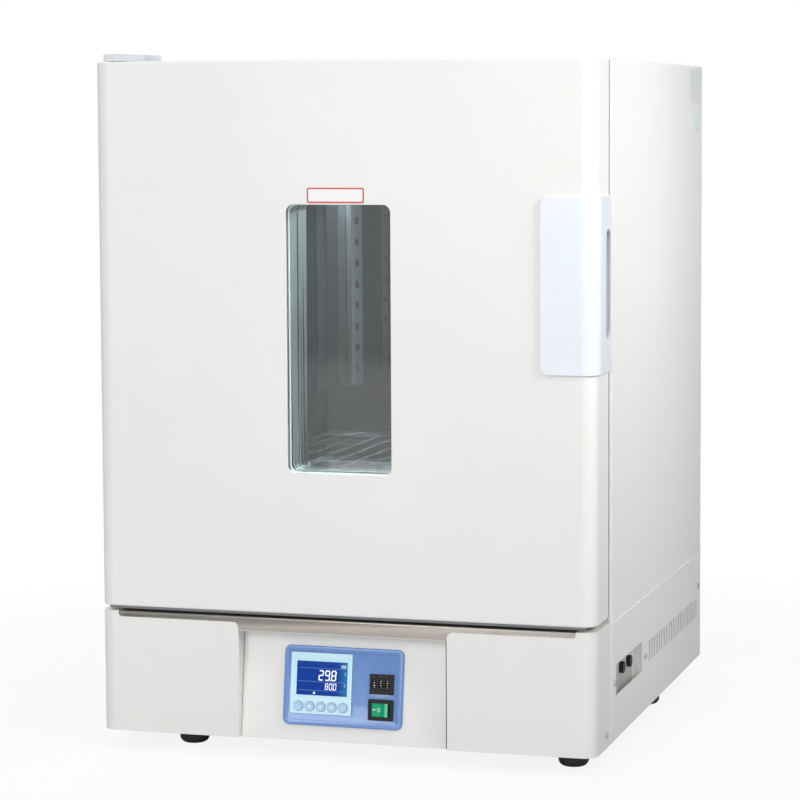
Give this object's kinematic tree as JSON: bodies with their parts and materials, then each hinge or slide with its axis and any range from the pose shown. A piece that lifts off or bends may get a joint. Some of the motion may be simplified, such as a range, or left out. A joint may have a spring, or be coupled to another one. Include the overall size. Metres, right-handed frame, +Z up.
{
  "type": "laboratory drying oven",
  "caption": "Free-standing cabinet oven with a windowed hinged door, a heated chamber with wire shelves, a fan, and a slanted control panel in its base.",
  "frame": {"origin": "centre of the cabinet's footprint, on the surface that the rubber feet stand on", "axes": "+Z up, +X to the right seen from the front, and the door faces -Y"},
  "size_m": [0.6252, 0.6738, 0.8465],
  "materials": {
    "body_paint": "satin",
    "stainless": "satin",
    "plated_steel": "satin",
    "chrome_wire": "polished",
    "mineral_wool": "matte",
    "silicone": "matte",
    "foot_rubber": "matte",
    "glass": "gloss",
    "handle_plastic": "gloss",
    "bezel_blue": "satin",
    "controller_pale": "satin",
    "display": "gloss",
    "black_plastic": "satin",
    "key_white": "satin",
    "rocker_green": "gloss",
    "motor_black": "satin",
    "fan_alloy": "satin",
    "heater_steel": "satin",
    "wheel_black": "satin"
  },
  "bodies": {
    "root": {"outer_case": "body_paint", "front_frame": "body_paint", "latch_keeper": "plated_steel", "rear_cover": "body_paint", "chamber_liner": "stainless", "cabinet_insulation": "mineral_wool", "back_baffle": "stainless", "side_ducts": "stainless", "shelf_hooks": "stainless", "floor_plate": "stainless", "heater_elements": "heater_steel", "temperature_sensor": "stainless", "fan_motor": "motor_black", "exhaust_port": "stainless", "base_fascia": "body_paint", "base_side_left": "body_paint", "base_side_right": "body_paint", "base_tray": "body_paint", "side_recess_pan": "body_paint", "fuse_holders": "black_plastic", "deck_plate": "stainless", "control_panel": "body_paint", "panel_bezel": "bezel_blue", "controller_unit": "controller_pale", "lcd_screen": "display", "pushwheel_housing": "black_plastic", "rocker_housing": "black_plastic", "rubber_feet": "foot_rubber", "hinge_arms": "body_paint", "hinge_cap": "handle_plastic", "cable_gland": "black_plastic", "panel_screws": "plated_steel"},
    "door": {"door_skin": "body_paint", "door_liner": "stainless", "door_insulation": "mineral_wool", "door_gasket": "silicone", "window_tunnel": "body_paint", "window_glass": "glass", "handle_body": "handle_plastic", "hinge_bushes": "black_plastic"},
    "latch_lever": {"latch_lever": "handle_plastic"},
    "fan_wheel": {"fan_wheel": "fan_alloy"},
    "exhaust_damper": {"exhaust_damper": "black_plastic"},
    "shelf_upper": {"shelf_upper": "chrome_wire"},
    "shelf_lower": {"shelf_lower": "chrome_wire"},
    "power_rocker": {"power_rocker": "rocker_green"},
    "key_1": {"key_1": "key_white"},
    "key_2": {"key_2": "key_white"},
    "key_3": {"key_3": "key_white"},
    "key_4": {"key_4": "key_white"},
    "key_5": {"key_5": "key_white"},
    "digit_wheel_1": {"digit_wheel_1": "wheel_black"},
    "plus_tab_1": {"plus_tab_1": "black_plastic"},
    "minus_tab_1": {"minus_tab_1": "black_plastic"},
    "digit_wheel_2": {"digit_wheel_2": "wheel_black"},
    "plus_tab_2": {"plus_tab_2": "black_plastic"},
    "minus_tab_2": {"minus_tab_2": "black_plastic"},
    "digit_wheel_3": {"digit_wheel_3": "wheel_black"},
    "plus_tab_3": {"plus_tab_3": "black_plastic"},
    "minus_tab_3": {"minus_tab_3": "black_plastic"}
  },
  "joints": [
    {"name": "door_hinge", "type": "hinge", "parent": "root", "child": "door", "pos_m": [-0.291, -0.3, 0.5], "axis": [0, 0, -1], "range_deg": [0, 120]},
    {"name": "latch_pull", "type": "hinge", "parent": "door", "child": "latch_lever", "pos_m": [0.284, -0.2895, 0.5735], "axis": [0, 0, -1], "range_deg": [0, 12], "stiffness_Nm_per_rad": 1},
    {"name": "fan_spin", "type": "hinge", "parent": "root", "child": "fan_wheel", "pos_m": [0, 0.25, 0.565], "axis": [0, 1, 0], "continuous": true},
    {"name": "exhaust_turn", "type": "hinge", "parent": "root", "child": "exhaust_damper", "pos_m": [0.15, 0.333, 0.735], "axis": [0, 1, 0], "range_deg": [0, 90]},
    {"name": "upper_shelf_lift", "type": "slide", "parent": "root", "child": "shelf_upper", "axis": [0, 0, 1], "range_m": [0, 0.02]},
    {"name": "lower_shelf_lift", "type": "slide", "parent": "root", "child": "shelf_lower", "axis": [0, 0, 1], "range_m": [0, 0.02]},
    {"name": "power_switch", "type": "hinge", "parent": "root", "child": "power_rocker", "pos_m": [0.04575, -0.31872, 0.06323], "axis": [0, 0.1392, 0.9903], "range_deg": [0, 20]},
    {"name": "key_1_press", "type": "slide", "parent": "root", "child": "key_1", "axis": [0, 0.9903, -0.1392], "range_m": [0, 0.0008], "stiffness_N_per_m": 400},
    {"name": "key_2_press", "type": "slide", "parent": "root", "child": "key_2", "axis": [0, 0.9903, -0.1392], "range_m": [0, 0.0008], "stiffness_N_per_m": 400},
    {"name": "key_3_press", "type": "slide", "parent": "root", "child": "key_3", "axis": [0, 0.9903, -0.1392], "range_m": [0, 0.0008], "stiffness_N_per_m": 400},
    {"name": "key_4_press", "type": "slide", "parent": "root", "child": "key_4", "axis": [0, 0.9903, -0.1392], "range_m": [0, 0.0008], "stiffness_N_per_m": 400},
    {"name": "key_5_press", "type": "slide", "parent": "root", "child": "key_5", "axis": [0, 0.9903, -0.1392], "range_m": [0, 0.0008], "stiffness_N_per_m": 400},
    {"name": "digit_wheel_1_turn", "type": "hinge", "parent": "root", "child": "digit_wheel_1", "pos_m": [0.0368, -0.30615, 0.09227], "axis": [1, 0, 0], "continuous": true},
    {"name": "plus_tab_1_press", "type": "slide", "parent": "root", "child": "plus_tab_1", "axis": [0, 0.9903, -0.1392], "range_m": [0, 0.0012], "stiffness_N_per_m": 300},
    {"name": "minus_tab_1_press", "type": "slide", "parent": "root", "child": "minus_tab_1", "axis": [0, 0.9903, -0.1392], "range_m": [0, 0.0012], "stiffness_N_per_m": 300},
    {"name": "digit_wheel_2_turn", "type": "hinge", "parent": "root", "child": "digit_wheel_2", "pos_m": [0.045, -0.30615, 0.09227], "axis": [1, 0, 0], "continuous": true},
    {"name": "plus_tab_2_press", "type": "slide", "parent": "root", "child": "plus_tab_2", "axis": [0, 0.9903, -0.1392], "range_m": [0, 0.0012], "stiffness_N_per_m": 300},
    {"name": "minus_tab_2_press", "type": "slide", "parent": "root", "child": "minus_tab_2", "axis": [0, 0.9903, -0.1392], "range_m": [0, 0.0012], "stiffness_N_per_m": 300},
    {"name": "digit_wheel_3_turn", "type": "hinge", "parent": "root", "child": "digit_wheel_3", "pos_m": [0.0532, -0.30615, 0.09227], "axis": [1, 0, 0], "continuous": true},
    {"name": "plus_tab_3_press", "type": "slide", "parent": "root", "child": "plus_tab_3", "axis": [0, 0.9903, -0.1392], "range_m": [0, 0.0012], "stiffness_N_per_m": 300},
    {"name": "minus_tab_3_press", "type": "slide", "parent": "root", "child": "minus_tab_3", "axis": [0, 0.9903, -0.1392], "range_m": [0, 0.0012], "stiffness_N_per_m": 300}
  ]
}
